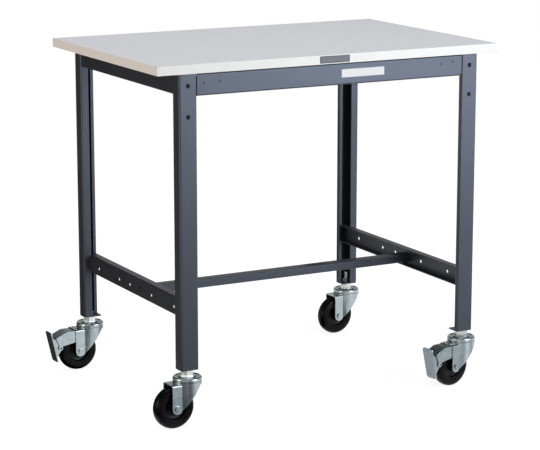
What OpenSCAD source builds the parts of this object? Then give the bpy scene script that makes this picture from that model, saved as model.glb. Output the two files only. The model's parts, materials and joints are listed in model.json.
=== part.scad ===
// Mobile work table: a laminated board on a bolted frame of folded sheet steel, on four swivel castors.
// Millimetres. The origin is on the floor under the middle of the board.
// +X is to the right, +Y to the back and +Z up.

/* [Board] */
// Length of the work surface
board_w = 900; // [760:10:1500]
// Depth of the work surface
board_d = 600; // [500:10:900]
// Thickness of the board
board_t = 21; // [16:1:40]
// Height of the work surface above the floor
table_h = 837; // [720:1:1000]
// Thickness of the band on the board's edges
edging_t = 1; // [0.6:0.2:3]
// Length of the screws in the board
screw_depth = 13; // [8:1:15]

/* [Legs] */
// Overhang of the board beyond the legs at each end
overhang_x = 55; // [20:1:90]
// Overhang of the board beyond the legs at front and back
overhang_y = 5; // [0:1:40]
// Width of a leg along the table
leg_w = 44; // [40:1:60]
// Width of a leg across the table
leg_d = 35; // [32:1:60]
// Thickness of the leg's sheet
leg_t = 2; // [1.5:0.1:2.5]
// Outer radius of the leg's bends
leg_r = 4; // [3:0.5:5]
// How far the leg's inner wall reaches from its outer side
side_lip = 20; // [16:1:24]
// How far the leg's end wall reaches from its face
face_lip = 13; // [11:1:16]
// Length of the fold at the end of that wall
return_lip = 9; // [6:1:12]
// Thickness of the foot plate
foot_t = 3; // [2:0.5:5]

/* [Rails] */
// Height of the aprons
apron_h = 50; // [40:1:70]
// Depth of the aprons' flanges
apron_d = 25; // [20:1:35]
// Gap between an apron and the board
apron_drop = 1; // [0.5:0.1:2]
// Gap between an apron's end and the leg
apron_seam = 0.5; // [0.3:0.1:1.5]
// Height of the top rails at the ends
top_rail_h = 50; // [40:1:70]
// Depth of the top rails' flanges
top_rail_d = 25; // [20:1:35]
// How far the top rails lie inside the legs' outer sides
top_rail_inset = 6; // [3:1:8]
// Height of the low rails at the ends
low_rail_h = 45; // [40:1:60]
// Depth of the low rails' flanges
low_rail_d = 20; // [15:1:22]
// Height of the low rails' lower edge above the floor
low_rail_z = 248; // [200:1:400]
// Thickness of the rails' sheet
rail_t = 2; // [1.5:0.1:2.5]
// Outer radius of the rails' bends
rail_r = 3.5; // [3:0.5:4.5]
// Diameter of the holes in the low rails
rail_hole_d = 8.5; // [6:0.5:11]
// Height of those holes above the rail's lower edge
rail_hole_z = 19; // [17:1:24]
// Distance of the inner pair of holes from the middle
rail_hole_near = 30; // [24:1:45]
// Distance of the next pair of holes from the middle
rail_hole_mid = 92; // [70:1:130]
// Distance of the outer pair of holes from the middle
rail_hole_far = 214; // [160:1:216]

/* [Stretcher] */
// Height of the stretcher
stretcher_h = 20; // [16:1:22]
// Depth of the stretcher
stretcher_d = 30; // [22:1:44]
// Thickness of its sheet
stretcher_t = 1.5; // [1.2:0.1:2]
// Diameter of its bolts
stretcher_bolt_d = 8; // [5:1:8]

/* [Corner brackets] */
// Thickness of the brackets between legs and aprons
bracket_t = 3; // [2:0.5:4]
// Length of a bracket down the leg
bracket_h = 115; // [105:1:140]
// Length of a bracket along the apron
bracket_w = 50; // [35:1:80]
// Diameter of the bolts through the legs' faces
frame_bolt_d = 6; // [5:1:8]
// Depth of the upper bolts below the board
bolt_drop = 27; // [22:1:34]
// Spacing of the two bolts
bolt_pitch = 70; // [50:1:75]

/* [Castor mounting] */
// Height from the floor to the foot plate
castor_h = 134; // [132:0.5:150]
// Distance of the stem from the leg's outer side
stem_x = 21; // [17:1:24]
// Distance of the stem from the leg's face
stem_y = 15; // [14:1:20]
// Diameter of the threaded stem
stem_d = 12; // [8:1:12]
// Length of the stem above the foot plate
stem_len = 27; // [16:1:40]
// Width across flats of the stem's hexagon
hex_af = 27; // [19:1:30]
// Diameter of the washer under the hexagon
washer_d = 41; // [32:1:42]
// Thickness of that washer
washer_t = 1.5; // [1:0.5:3]

/* [Castor head] */
// Diameter of the ball race
crown_d = 68; // [64:1:74]
// Height of the fork's top above the floor
shelf_z = 106; // [105:0.5:108]
// Height of the turned-up rim of the fork
rim_h = 2.5; // [2:0.1:3]
// Height of the race cap's top above the floor
cap_z = 119; // [117:0.5:121]
// Gap between the cap and the rim
cap_gap = 0.6; // [0.3:0.1:1]
// Diameter of the balls
ball_d = 7; // [6:0.5:7.5]
// Diameter of the circle of balls
ball_circle_d = 52; // [48:1:54]
// Number of balls
ball_count = 18; // [8:1:20]

/* [Fork] */
// Thickness of the fork's sheet
fork_t = 2.5; // [2:0.1:3]
// Width between the fork's plates
fork_gap = 40; // [39:1:44]
// Distance of the axle behind the swivel axis
trail = 37; // [34:1:40]
// Half width of the fork's plates round the axle
fork_boss_r = 13; // [11:0.5:14]
// Where the skirt's lower edge reaches the fork's top, ahead of the swivel axis
skirt_x = 19; // [14:1:26]
// Outer radius of the bends between the fork's top and its plates
fork_bend_r = 4; // [3.5:0.5:5]
// Diameter of the axle
axle_d = 8; // [6:0.5:10]

/* [Wheel] */
// Diameter of the wheel
wheel_d = 100; // [90:1:100]
// Width of the tyre
wheel_w = 30; // [24:1:32]
// Radius of the tyre's shoulders
shoulder_r = 10; // [5:0.5:11]
// Diameter of the hub's rim
hub_d = 64; // [56:1:70]
// Width of the hub's rim
hub_rim_w = 26; // [20:1:28]
// Thickness of the hub's rim
hub_rim_t = 4.5; // [3:0.5:7]
// Thickness of the hub's disc
hub_web_t = 7; // [4:0.5:10]
// Diameter of the hub's boss
hub_boss_d = 23; // [20:0.5:27]
// Diameter of the bush
bush_d = 14; // [12:0.5:16]

/* [Brake] */
// Distance of the pedal's pivot behind the swivel axis
pivot_x = 91; // [90:0.5:95]
// Height of the pedal's pivot
pivot_z = 64.5; // [62:0.5:68]
// Diameter of the hollow pivot pin
pin_d = 8; // [6:0.5:9]
// Diameter of the pivot pin's bore
pin_bore_d = 4.4; // [3:0.2:5]
// Radius of the ears round the pivot
ear_r = 6; // [5.5:0.1:7]
// Length of the flat on the bracket's top
brake_flat = 24; // [18:1:28]
// Length of the bracket behind the fork
brake_len = 53; // [50:1:56]
// Fall of the bracket's sloping end
brake_fall = 12.5; // [8:0.5:16]
// Height of the bracket's plates at the fork
brake_side_h = 27; // [22:1:30]
// Play between the pedal and the bracket's plates at each side
pedal_play = 1; // [0.5:0.1:2]
// Thickness of the pedal's sheet
pedal_t = 2.5; // [2:0.1:3]
// Height of the pedal's upper edge above its pivot
pedal_up = 46; // [38:0.5:48]
// Depth of the pedal's lower edge below its pivot
pedal_down = 34; // [30:0.5:36]
// Angle by which the pedal leans out at the top
pedal_lean = 13; // [11:0.5:15]
// Distance of the pedal's outer face from its pivot
pedal_reach = 15.5; // [14.5:0.5:18]
// Thickness of the brake shoe
shoe_t = 12; // [9:0.5:14]
// Width of the brake shoe
shoe_w = 24; // [20:1:26]

/* [Castors at rest] */
// Turn of the front left castor
turn_fl = 3; // [0:1:30]
// Turn of the front right castor
turn_fr = 12; // [0:1:30]
// Turn of the rear left castor
turn_rl = 3; // [0:1:30]
// Turn of the rear right castor
turn_rr = 5; // [0:1:30]

/* [Hidden] */
$fn = 64;

// Small amount by which a cut passes the face that it opens
eps = 0.5;
// Radial clearance of a shaft that turns in its hole
run_gap = 0.08;
// Play between a hub's end and the fork
hub_play = 0.6;
// Play round a bolt in its hole
bolt_play = 0.3;
// Width across flats and height of a nut, as multiples of its thread's diameter
nut_af = 1.6;
nut_h = 0.8;
// Length of thread that shows beyond a nut
thread_end = 1.5;
// Room between a bracket and the bends beside it
bracket_play = 1;
// Distance of a row of screws from the fold, as a share of the flange that it passes through
screw_row = 0.55;

leg_x = board_w / 2 - overhang_x;
leg_y = board_d / 2 - overhang_y;
leg_top = table_h - board_t;
leg_foot = castor_h + foot_t;
apron_top = leg_top - apron_drop;
apron_len = 2 * (leg_x - leg_w - apron_seam);
top_rail_len = 2 * (leg_y - leg_d);
low_rail_len = 2 * (leg_y - face_lip);
low_rail_x = leg_x - side_lip;
rail_hole_h = low_rail_z + rail_hole_z;
stretcher_y = -rail_hole_near;
bolt_heights = [leg_top - bolt_drop, leg_top - bolt_drop - bolt_pitch];
CORNERS = [[-1, -1], [1, -1], [-1, 1], [1, 1]];
TURNS = [turn_fl, turn_fr, turn_rl, turn_rr];
steel = [0.27, 0.28, 0.33];
zinc = [0.78, 0.81, 0.83];
black = [0.08, 0.08, 0.09];

// Places of the board's screws: three in each apron and two in each top rail
screw_y = leg_y - apron_d * screw_row;
screw_x = leg_x - top_rail_inset - top_rail_d * screw_row;
apron_screw_share = 0.32;
rail_screw_share = 0.3;
screw_step_x = apron_len * apron_screw_share;
screw_step_y = top_rail_len * rail_screw_share;
APRON_SCREWS = [for (s = [-1, 1], k = [-1, 0, 1]) [k * screw_step_x, s * screw_y]];
RAIL_SCREWS = [for (s = [-1, 1], k = [-1, 1]) [s * screw_x, k * screw_step_y]];
screw_d = 4.2;
screw_head_d = 8;
screw_head_h = 2.6;
screw_tip = 1;

// Castor levels and places in the castor's own frame: swivel axis at the origin, wheel towards -X
shelf_low = shelf_z - fork_t;
cap_low = shelf_z + rim_h + cap_gap;
groove_depth = 1.2;
groove_play = 0.15;
ball_z = shelf_z + ball_d / 2 - groove_depth;
groove_r = ball_d / 2 + groove_play;
plate_y = fork_gap / 2;
fork_y = plate_y + fork_t;
axle_z = wheel_d / 2;
fork_tail = trail + fork_boss_r;
king_head_h = 4;
king_head_r = stem_d / 2 + king_head_h;
king_gap = 0.2;
skirt_lip = 1.5;
// Radius on which the skirt's edge runs into the round of the boss, a little inside it
boss_in = 0.97 * fork_boss_r;

// Shapes that are shared
function hex_r(af) = af / 2 / cos(30);

// The point where a line from p meets a circle of radius r round the origin, on the side of sign s
function tangent(p, r, s) = let (a = atan2(p[1], p[0]) + s * acos(r / norm(p))) [r * cos(a), r * sin(a)];

module rounded_rect(w, h, r) {
    translate([r, 0]) square([w - 2 * r, h]);
    translate([0, r]) square([w, h - 2 * r]);
    for (x = [r, w - r], y = [r, h - r])
        translate([x, y]) circle(r);
}

// A channel's section: web along the left side, flanges to the right
module channel_2d(d, h, t, r) {
    difference() {
        intersection() {
            rounded_rect(d + 2 * r, h, r);
            square([d, h]);
        }
        translate([t, t]) rounded_rect(d + 2 * r, h - 2 * t, r - t);
    }
}

// A section drawn as depth and height, run along the table or across it, from the middle
module run_x(len) {
    translate([-len / 2, 0, 0]) rotate([90, 0, 90]) linear_extrude(len) children();
}

module run_y(len) {
    translate([0, len / 2, 0]) rotate([90, 0, 0]) linear_extrude(len) children();
}

// Mirrors a piece of the front or left side to the rear or right side
module to_side(s, axis) {
    if (s < 0) children();
    else mirror(axis) children();
}

// Puts a piece that is drawn from a leg's outer corner, a inwards along X and b inwards along Y, at corner k
module at_corner(k) {
    c = CORNERS[k];
    to_side(c[0], [1, 0, 0]) to_side(c[1], [0, 1, 0])
        translate([-leg_x, -leg_y, 0]) children();
}

// Puts a piece of a castor at corner k, turned as it stands at rest
module at_castor(k) {
    c = CORNERS[k];
    translate([c[0] * (leg_x - stem_x), c[1] * (leg_y - stem_y), 0])
        rotate([0, 0, TURNS[k]]) children();
}

// Puts a piece that is drawn along Z on the wheel's axle
module on_axle() {
    translate([-trail, 0, axle_z]) rotate([-90, 0, 0]) children();
}

// Turns a section drawn in X and Z into a plate across the castor
module across(y0, y1) {
    translate([0, y1, 0]) rotate([90, 0, 0]) linear_extrude(y1 - y0) children();
}

// A domed head on the XY plane
module dome(r, h) {
    ball = (r * r + h * h) / (2 * h);
    intersection() {
        translate([0, 0, h - ball]) sphere(ball);
        cylinder(r = r + eps, h = h + eps);
    }
}

// A nut for a thread of diameter d
module hex_nut(d) {
    difference() {
        cylinder(r = hex_r(nut_af * d), h = nut_h * d, $fn = 6);
        translate([0, 0, -eps]) cylinder(d = d, h = nut_h * d + 2 * eps);
    }
}

// Board
module board() {
    color([0.79, 0.8, 0.81]) difference() {
        translate([edging_t - board_w / 2, edging_t - board_d / 2, leg_top])
            cube([board_w - 2 * edging_t, board_d - 2 * edging_t, board_t]);
        for (p = concat(APRON_SCREWS, RAIL_SCREWS))
            translate([p[0], p[1], leg_top - eps]) cylinder(d = screw_d, h = screw_depth + eps);
    }
}

module long_edging(s) {
    color([0.95, 0.95, 0.94]) to_side(s, [0, 1, 0])
        translate([-board_w / 2, -board_d / 2, leg_top]) cube([board_w, edging_t, board_t]);
}

module end_edging(s) {
    color([0.93, 0.91, 0.87]) to_side(s, [1, 0, 0])
        translate([-board_w / 2, edging_t - board_d / 2, leg_top])
            cube([edging_t, board_d - 2 * edging_t, board_t]);
}

module board_screws() {
    color("silver") {
        for (p = APRON_SCREWS) board_screw(p, apron_drop + rail_t);
        for (p = RAIL_SCREWS) board_screw(p, rail_t);
    }
}

module board_screw(p, seat) {
    translate([p[0], p[1], leg_top - seat]) {
        cylinder(d = screw_d, h = screw_depth + seat - screw_tip);
        mirror([0, 0, 1]) dome(screw_head_d / 2, screw_head_h);
    }
}

// Legs
module leg_2d() {
    end_r = leg_r;
    difference() {
        rounded_rect(leg_w, leg_d, leg_r);
        translate([leg_t, leg_t]) rounded_rect(leg_w - 2 * leg_t, leg_d - 2 * leg_t, leg_r - leg_t);
        translate([side_lip, face_lip - end_r]) square([leg_w, leg_d]);
    }
    translate([leg_w - end_r, face_lip - end_r]) intersection() {
        difference() {
            circle(end_r);
            circle(end_r - leg_t);
        }
        square(end_r);
    }
    translate([leg_w - return_lip, face_lip - leg_t]) square([return_lip - end_r, leg_t]);
}

// The end wall is cut away at the top, where the corner bracket passes into the apron
module leg(k) {
    color(steel) at_corner(k) difference() {
        translate([0, 0, leg_foot]) linear_extrude(leg_top - leg_foot) leg_2d();
        translate([leg_w - leg_r, leg_t, apron_top - apron_h])
            cube([leg_r + eps, face_lip, apron_h + apron_drop + eps]);
        for (z = bolt_heights)
            translate([leg_w / 2, -eps, z]) rotate([-90, 0, 0])
                cylinder(d = frame_bolt_d + bolt_play, h = leg_t + 2 * eps);
    }
}

module foot_plates() {
    color(steel) for (k = [0 : 3]) at_corner(k) difference() {
        translate([0, 0, castor_h]) linear_extrude(foot_t) {
            rounded_rect(leg_w, leg_d, leg_r);
            translate([leg_w / 2, leg_d / 2]) square([leg_w / 2, leg_d / 2]);
        }
        translate([stem_x, stem_y, castor_h - eps]) cylinder(d = stem_d, h = foot_t + 2 * eps);
    }
}

// Rails
module apron(s) {
    color(steel) to_side(s, [0, 1, 0]) difference() {
        translate([0, -leg_y, apron_top - apron_h]) run_x(apron_len)
            channel_2d(apron_d, apron_h, rail_t, rail_r);
        for (k = [-1, 0, 1])
            translate([k * screw_step_x, -screw_y, apron_top - rail_t - eps])
                cylinder(d = screw_d + bolt_play, h = rail_t + 2 * eps);
    }
}

module top_rail(s) {
    color(steel) to_side(s, [1, 0, 0]) difference() {
        translate([top_rail_inset - leg_x, 0, leg_top - top_rail_h]) run_y(top_rail_len)
            channel_2d(top_rail_d, top_rail_h, rail_t, rail_r);
        for (k = [-1, 1])
            translate([-screw_x, k * screw_step_y, leg_top - rail_t - eps])
                cylinder(d = screw_d + bolt_play, h = rail_t + 2 * eps);
    }
}

module low_rail(s) {
    color(steel) to_side(s, [1, 0, 0]) difference() {
        translate([-low_rail_x, 0, low_rail_z]) run_y(low_rail_len)
            channel_2d(low_rail_d, low_rail_h, rail_t, rail_r);
        for (y = [rail_hole_near, rail_hole_mid, rail_hole_far], e = [-1, 1])
            translate([-low_rail_x - eps, e * y, rail_hole_h]) rotate([0, 90, 0])
                cylinder(d = rail_hole_d, h = rail_t + 2 * eps);
    }
}

// The stretcher is a box section with a closed end that its bolt passes through
module stretcher() {
    len = 2 * (low_rail_x - rail_t);
    bend_r = 2;
    color(steel) translate([0, stretcher_y, rail_hole_h]) difference() {
        translate([0, -stretcher_d / 2, -stretcher_h / 2]) run_x(len)
            rounded_rect(stretcher_d, stretcher_h, bend_r);
        translate([0, stretcher_t - stretcher_d / 2, stretcher_t - stretcher_h / 2])
            run_x(len - 2 * rail_t)
                square([stretcher_d - 2 * stretcher_t, stretcher_h - 2 * stretcher_t]);
        rotate([0, 90, 0]) translate([0, 0, -len / 2 - eps])
            cylinder(d = stretcher_bolt_d + bolt_play, h = len + 2 * eps);
    }
}

module stretcher_bolts() {
    grip = 2 * rail_t;
    thick = nut_h * stretcher_bolt_d;
    color(black) for (s = [-1, 1]) to_side(s, [1, 0, 0])
        translate([-low_rail_x, stretcher_y, rail_hole_h]) rotate([0, 90, 0]) {
            cylinder(d = stretcher_bolt_d, h = grip + thick + thread_end);
            mirror([0, 0, 1]) button_head(stretcher_bolt_d);
            translate([0, 0, grip]) cylinder(r = hex_r(nut_af * stretcher_bolt_d), h = thick, $fn = 6);
        }
}

// A round head with a hexagon socket, for a bolt of diameter d
module button_head(d) {
    head_r = 0.9 * d;
    head_h = 0.55 * d;
    socket_af = 0.62 * d;
    difference() {
        dome(head_r, head_h);
        translate([0, 0, head_h / 3]) cylinder(r = hex_r(socket_af), h = head_h, $fn = 6);
    }
}

// Corner brackets: flat plates behind a leg's face, with a tongue behind the apron
module corner_brackets() {
    room = rail_r + bracket_play;
    start = leg_r + bracket_play;
    color(steel) for (k = [0 : 3]) at_corner(k) difference() {
        union() {
            translate([start, leg_t, leg_top - bracket_h])
                cube([leg_w - 2 * start, bracket_t, bracket_h - apron_drop - room]);
            translate([start, leg_t, apron_top - apron_h + room])
                cube([leg_w - start + bracket_w, bracket_t, apron_h - 2 * room]);
        }
        for (z = bolt_heights)
            translate([leg_w / 2, 0, z]) rotate([-90, 0, 0])
                cylinder(d = frame_bolt_d + bolt_play, h = leg_t + bracket_t + eps);
    }
}

module frame_bolts() {
    color(black) for (k = [0 : 3], z = bolt_heights)
        at_corner(k) translate([leg_w / 2, 0, z]) rotate([-90, 0, 0]) {
            cylinder(d = frame_bolt_d, h = leg_t + bracket_t + nut_h * frame_bolt_d + thread_end);
            mirror([0, 0, 1]) button_head(frame_bolt_d);
        }
}

module frame_nuts() {
    color("silver") for (k = [0 : 3], z = bolt_heights)
        at_corner(k) translate([leg_w / 2, leg_t + bracket_t, z]) rotate([-90, 0, 0])
            hex_nut(frame_bolt_d);
}

// Castor heads, fixed to the legs
module castor_stems() {
    hex_z = cap_z + washer_t;
    tip_h = 1;
    rod_z = shelf_low - king_gap - king_head_h;
    color(zinc) for (k = [0 : 3]) at_castor(k) {
        translate([0, 0, rod_z]) cylinder(d = stem_d, h = leg_foot + stem_len - tip_h - rod_z);
        translate([0, 0, leg_foot + stem_len - tip_h])
            cylinder(d1 = stem_d, d2 = stem_d - 2 * tip_h, h = tip_h);
        translate([0, 0, rod_z]) cylinder(r = king_head_r, h = king_head_h);
        translate([0, 0, hex_z]) cylinder(r = hex_r(hex_af), h = castor_h - hex_z, $fn = 6);
    }
}

module stem_nuts() {
    color(zinc) for (k = [0 : 3]) at_castor(k) translate([0, 0, leg_foot]) hex_nut(stem_d);
}

module stem_washers() {
    color(zinc) for (k = [0 : 3]) at_castor(k) translate([0, 0, cap_z]) difference() {
        cylinder(d = washer_d, h = washer_t);
        translate([0, 0, -eps]) cylinder(d = stem_d, h = washer_t + 2 * eps);
    }
}

// The cap's section: a rounded rim, a shallow dish outside the washer, and a groove for the balls
module cap_2d() {
    rim_r = 4;
    out = crown_d / 2;
    dish_in = washer_d / 2 + 1;
    dish_d = 1.4;
    lip_h = 2;
    difference() {
        union() {
            translate([stem_d / 2, cap_low + lip_h])
                square([out - fork_t - stem_d / 2, cap_z - cap_low - lip_h]);
            translate([out - rim_r, cap_low]) square([rim_r, cap_z - cap_low - rim_r]);
            translate([out - rim_r, cap_z - rim_r]) circle(rim_r);
        }
        translate([dish_in, cap_z - dish_d]) square([out - rim_r - dish_in, dish_d + eps]);
        translate([ball_circle_d / 2, ball_z]) circle(groove_r);
        translate([out - rim_r - eps, cap_low - eps]) square([rim_r - fork_t + eps, lip_h]);
    }
}

module race_caps() {
    color(zinc) for (k = [0 : 3]) at_castor(k) rotate_extrude() cap_2d();
}

module race_balls() {
    color(zinc) for (k = [0 : 3]) at_castor(k) for (i = [0 : ball_count - 1])
        rotate([0, 0, i * 360 / ball_count]) translate([ball_circle_d / 2, 0, ball_z])
            sphere(d = ball_d, $fn = 24);
}

// Fork: a round crown run into a channel with rounded bends, drawn as a block that can be inset by the sheet
module fork_block(inset) {
    low = axle_z - fork_boss_r - 2 * fork_bend_r;
    high = shelf_z - inset;
    len = fork_tail + eps + inset;
    translate([0, 0, low]) cylinder(r = crown_d / 2 - inset, h = high - low);
    translate([-len / 2, 0, low]) run_x(len)
        translate([inset - fork_y, 0]) rounded_rect(2 * (fork_y - inset), high - low, fork_bend_r - inset);
}

// The side view that cuts the block to an axle boss and, at the front, to a short lip under the top
module fork_side() {
    lead = crown_d / 2 + eps;
    skirt_z = shelf_low - skirt_lip;
    edge = tangent([skirt_x + trail, skirt_z - axle_z], boss_in, -1);
    translate([-trail, axle_z]) circle(fork_boss_r);
    polygon([[-fork_tail, axle_z], [-fork_tail, shelf_z + eps], [lead, shelf_z + eps], [lead, skirt_z],
        [skirt_x, skirt_z], [edge[0] - trail, edge[1] + axle_z], [-trail, axle_z]]);
}

module fork(k) {
    wide = crown_d / 2 + eps;
    color(zinc) at_castor(k) difference() {
        union() {
            intersection() {
                difference() {
                    fork_block(0);
                    fork_block(fork_t);
                }
                across(-wide, wide) fork_side();
            }
            rotate_extrude() translate([crown_d / 2 - fork_t, shelf_z - eps]) square([fork_t, rim_h + eps]);
        }
        rotate_extrude() translate([ball_circle_d / 2, ball_z]) circle(groove_r);
        translate([0, 0, shelf_low - eps]) cylinder(r = stem_d / 2 + run_gap, h = fork_t + 2 * eps);
        on_axle() translate([0, 0, -fork_y - eps]) cylinder(d = axle_d, h = 2 * (fork_y + eps));
        if (has_brake(k)) rivet_places() cylinder(d = rivet_d, h = 4 * fork_t, center = true);
    }
}

module axle(k) {
    head_h = axle_d / 2;
    thick = nut_h * axle_d;
    color(zinc) at_castor(k) on_axle() {
        translate([0, 0, -fork_y]) cylinder(d = axle_d, h = 2 * fork_y + thick + thread_end);
        translate([0, 0, -fork_y - head_h]) cylinder(r = hex_r(nut_af * axle_d), h = head_h, $fn = 6);
        translate([0, 0, fork_y]) cylinder(r = hex_r(nut_af * axle_d), h = thick, $fn = 6);
    }
}

module bush(k) {
    color("silver") at_castor(k) on_axle() difference() {
        cylinder(d = bush_d, h = fork_gap, center = true);
        cylinder(d = axle_d, h = fork_gap + 2 * eps, center = true);
    }
}

// Wheel
module hub(k) {
    boss_w = fork_gap - 2 * hub_play;
    bore_r = bush_d / 2 + run_gap;
    color(black) at_castor(k) on_axle() rotate_extrude() {
        translate([hub_d / 2 - hub_rim_t, -hub_rim_w / 2]) square([hub_rim_t, hub_rim_w]);
        translate([hub_boss_d / 2 - eps, -hub_web_t / 2])
            square([(hub_d - hub_boss_d) / 2 - hub_rim_t + 2 * eps, hub_web_t]);
        translate([bore_r, -boss_w / 2]) square([hub_boss_d / 2 - bore_r, boss_w]);
    }
}

module tyre(k) {
    r = wheel_d / 2;
    half = wheel_w / 2;
    color(black) at_castor(k) on_axle() rotate_extrude() intersection() {
        union() {
            translate([hub_d / 2, -half]) square([r - shoulder_r - hub_d / 2, wheel_w]);
            translate([hub_d / 2, shoulder_r - half])
                square([r - hub_d / 2, wheel_w - 2 * shoulder_r]);
            for (s = [-1, 1])
                translate([r - shoulder_r, s * (half - shoulder_r)]) circle(shoulder_r);
        }
        translate([hub_d / 2, -half]) square([r, wheel_w]);
    }
}

// Brake: a bracket riveted inside the fork's tail, a pedal on a hollow pin, and a shoe for the tread
function has_brake(k) = k == 1 || k == 2;
rivet_d = 5;
rivet_head_d = 8;
rivet_head_h = 3;
tongue_len = 9;
tongue_w = fork_gap - 2 * (fork_bend_r - fork_t);
flange_margin = 7;
flange_play = 1;
// How far below the pedal's upper edge its flanges begin
flange_drop = 15;
// Room between the bracket's plates and the bends above them
nest_room = 0.5;
pin_rim = 0.75;
shoe_room = 2.5;
// Turn of the pedal when it is pressed down, and the gap that is then left at the tread
brake_turn = 16;
brake_gap = 1;
// Radius on which a plate's edges run into the round of an ear, a little inside it
ear_in = 0.9 * ear_r;
// Angle above the horizontal at which the bracket's edges run into the ear
ear_angle = 50;
bracket_y = plate_y;
nest_top = shelf_low - (fork_bend_r - fork_t) - nest_room;
pedal_w = 2 * (bracket_y - fork_t - pedal_play);
brake_top = shelf_low;
brake_end = fork_tail + brake_len;
brake_slope = atan2(brake_fall, brake_len - brake_flat);
brake_drop = fork_t / cos(brake_slope);

module rivet_places() {
    for (s = [-1, 1])
        translate([tongue_len / 2 - fork_tail, s * fork_gap / 4, brake_top]) children();
}

// The bracket's side view, outer edge only: at the right it reaches in between the fork's plates
module bracket_side_2d() {
    ear_x = ear_in * cos(ear_angle);
    ear_z = pivot_z + ear_in * sin(ear_angle);
    nest_x = tongue_len - fork_tail;
    polygon([[nest_x, nest_top], [-fork_tail, nest_top], [-fork_tail, brake_top],
        [-fork_tail - brake_flat, brake_top], [-brake_end, brake_top - brake_fall],
        [-pivot_x - ear_x, ear_z], [ear_x - pivot_x, ear_z], [nest_x, brake_top - brake_side_h]]);
    translate([-pivot_x, pivot_z]) circle(ear_r);
}

// The strip that is the bracket's top, in the same view
module bracket_top_2d() {
    polygon([[tongue_len - fork_tail, brake_top], [-fork_tail - brake_flat, brake_top],
        [-brake_end, brake_top - brake_fall], [-brake_end, brake_top - brake_fall - brake_drop],
        [-fork_tail - brake_flat, brake_top - brake_drop], [-fork_tail - brake_flat, brake_top - fork_t],
        [tongue_len - fork_tail, brake_top - fork_t]]);
}

module brake_bracket(k) {
    color(zinc) at_castor(k) difference() {
        union() {
            for (s = [-1, 1]) to_side(s, [0, 1, 0]) across(-bracket_y, fork_t - bracket_y) bracket_side_2d();
            intersection() {
                across(-bracket_y, bracket_y) bracket_top_2d();
                union() {
                    translate([-brake_end - eps, -fork_y, 0])
                        cube([brake_end - fork_tail + eps, 2 * fork_y, shelf_z]);
                    translate([-fork_tail - eps, -tongue_w / 2, 0])
                        cube([tongue_len + 2 * eps, tongue_w, shelf_z]);
                }
            }
        }
        translate([-pivot_x, 0, pivot_z]) rotate([90, 0, 0])
            cylinder(d = pin_d, h = 4 * fork_y, center = true);
        rivet_places() cylinder(d = rivet_d, h = 4 * fork_t, center = true);
    }
}

module bracket_rivets(k) {
    color(zinc) at_castor(k) rivet_places() {
        translate([0, 0, -fork_t]) cylinder(d = rivet_d, h = 2 * fork_t);
        translate([0, 0, fork_t]) dome(rivet_head_d / 2, rivet_head_h);
    }
}

module pedal_pin(k) {
    flare = 1;
    color(zinc) at_castor(k) translate([-pivot_x, 0, pivot_z]) rotate([90, 0, 0]) difference() {
        union() {
            cylinder(d = pin_d, h = 2 * bracket_y, center = true);
            for (s = [-1, 1]) translate([0, 0, s * (bracket_y + flare / 2)])
                cylinder(r = pin_d / 2 + pin_rim, h = flare, center = true);
        }
        cylinder(d = pin_bore_d, h = 4 * fork_y, center = true);
    }
}

// Pedal pieces are drawn upright from the pivot and leaned out with the pedal
module at_pivot(k) {
    at_castor(k) translate([-pivot_x, 0, pivot_z]) rotate([0, -pedal_lean, 0]) children();
}

module pedal_plate_2d() {
    corner_r = 6;
    translate([-pedal_w / 2, -pedal_down]) rounded_rect(pedal_w, pedal_up + pedal_down, corner_r);
}

// A point of the castor's side view, counted from the pivot, as the pedal sees it when turned by an angle
function on_pedal(p, turn) = [p[0] * cos(turn) + p[1] * sin(turn), p[1] * cos(turn) - p[0] * sin(turn)];

// The flange reaches behind the bracket's end, just clear of its top, and tapers to an ear round the pin
module pedal_flange_2d() {
    root = pedal_t / 2 - pedal_reach;
    high = [root, pedal_up - flange_drop];
    low = [root, 2 * flange_margin - pedal_down];
    end_x = pivot_x - brake_end;
    end_z = brake_top - brake_fall - brake_drop - pivot_z;
    knee = on_pedal([end_x - flange_play, end_z - flange_play], pedal_lean);
    neck = on_pedal([end_x + 2 * flange_play, end_z - 2 * flange_play], pedal_lean);
    circle(ear_r);
    polygon([high, low, tangent(low, ear_in, 1), tangent(neck, ear_in, -1), neck, knee]);
}

module brake_pedal(k) {
    color(zinc) at_pivot(k) difference() {
        union() {
            translate([-pedal_reach, 0, 0]) rotate([90, 0, 90]) linear_extrude(pedal_t) pedal_plate_2d();
            for (s = [-1, 1]) to_side(s, [0, 1, 0])
                across(-pedal_w / 2, pedal_t - pedal_w / 2) pedal_flange_2d();
        }
        rotate([90, 0, 0]) cylinder(r = pin_d / 2 + run_gap, h = 2 * pedal_w, center = true);
    }
}

// The shoe's face is hollowed to the tread that it meets when the pedal is down
module brake_shoe(k) {
    top = -pin_d / 2 - shoe_room;
    bottom = 2 * flange_margin - pedal_down;
    hollow = on_pedal([pivot_x - trail, axle_z - pivot_z], pedal_lean + brake_turn);
    color(black) at_pivot(k) difference() {
        translate([pedal_t - pedal_reach, -shoe_w / 2, bottom]) cube([shoe_t, shoe_w, top - bottom]);
        translate([hollow[0], 0, hollow[1]]) rotate([90, 0, 0])
            cylinder(r = wheel_d / 2 + brake_gap, h = shoe_w + 2 * eps, center = true);
    }
}

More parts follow.
